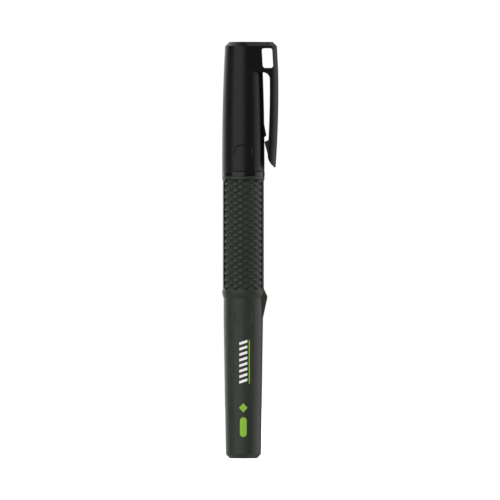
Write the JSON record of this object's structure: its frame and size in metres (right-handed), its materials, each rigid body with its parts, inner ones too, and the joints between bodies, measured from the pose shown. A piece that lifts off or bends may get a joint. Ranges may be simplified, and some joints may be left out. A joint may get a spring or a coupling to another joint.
{
  "type": "permanent marker",
  "caption": "Round permanent marker with a diamond-textured grip, bullet nib and pull-off cap that carries a sprung pocket clip, standing on its flat rear end.",
  "frame": {"origin": "middle of the flat rear end that the marker stands on", "axes": "+Z along the marker from its rear end to the cap's top, +X towards the pocket clip, -Y towards the picture's camera"},
  "size_m": [0.0188, 0.0142, 0.14],
  "materials": {
    "barrel_plastic": "fine satin",
    "grip_rubber": "soft matt",
    "nozzle_plastic": "gloss",
    "nib_fibre": "inked felt",
    "reservoir_fibre": "inked fibre",
    "film_plastic": "clear film",
    "liner_plastic": "smooth",
    "cap_plastic": "satin"
  },
  "bodies": {
    "marker": {"barrel": "barrel_plastic", "grip_inlay_front": "grip_rubber", "grip_inlay_back": "grip_rubber", "nozzle": "nozzle_plastic", "nib": "nib_fibre", "ink_reservoir": "reservoir_fibre", "reservoir_film": "film_plastic"},
    "inner_cap": {"inner_cap": "liner_plastic"},
    "cap": {"cap_shell": "cap_plastic"},
    "clip": {"pocket_clip": "cap_plastic"}
  },
  "joints": [
    {"name": "cap_pull", "type": "slide", "parent": "marker", "child": "inner_cap", "axis": [0, 0, 1], "range_m": [0, 0.045]},
    {"name": "cap_twist", "type": "hinge", "parent": "inner_cap", "child": "cap", "pos_m": [0, 0, 0.0966], "axis": [0, 0, 1], "continuous": true},
    {"name": "clip_flex", "type": "hinge", "parent": "cap", "child": "clip", "pos_m": [0.0097, 0, 0.12985], "axis": [0, -1, 0], "range_deg": [0, 5], "stiffness_Nm_per_rad": 0.8}
  ]
}
